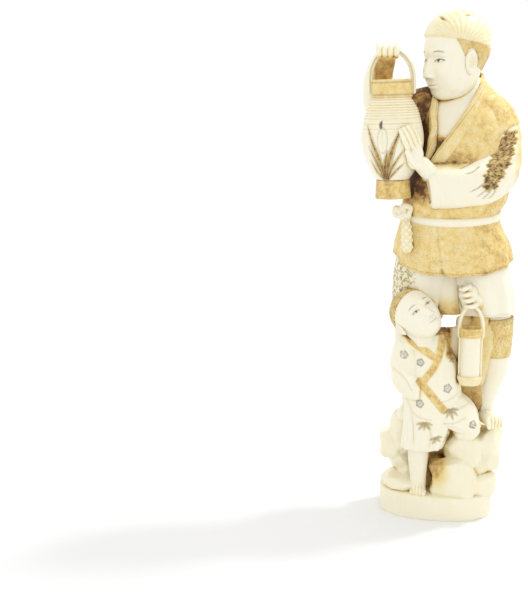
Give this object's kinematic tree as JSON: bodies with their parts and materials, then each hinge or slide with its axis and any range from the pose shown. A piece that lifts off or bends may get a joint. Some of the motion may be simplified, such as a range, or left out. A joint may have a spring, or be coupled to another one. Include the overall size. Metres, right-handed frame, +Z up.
{
  "type": "carved ivory figure group",
  "caption": "Standing carved ivory group of a man holding up a lantern with a boy and a smaller lantern at his feet, on rocks and an oval base.",
  "frame": {"origin": "centre of the oval base's flat underside", "axes": "+Z up from the underside to the man's head; the front, where the boy stands, faces -Y; the large lantern is on the -X side"},
  "size_m": [0.0821, 0.0575, 0.2648],
  "materials": {
    "ivory": "satin"
  },
  "bodies": {
    "root": {"okimono_carving": "ivory"}
  },
  "joints": []
}
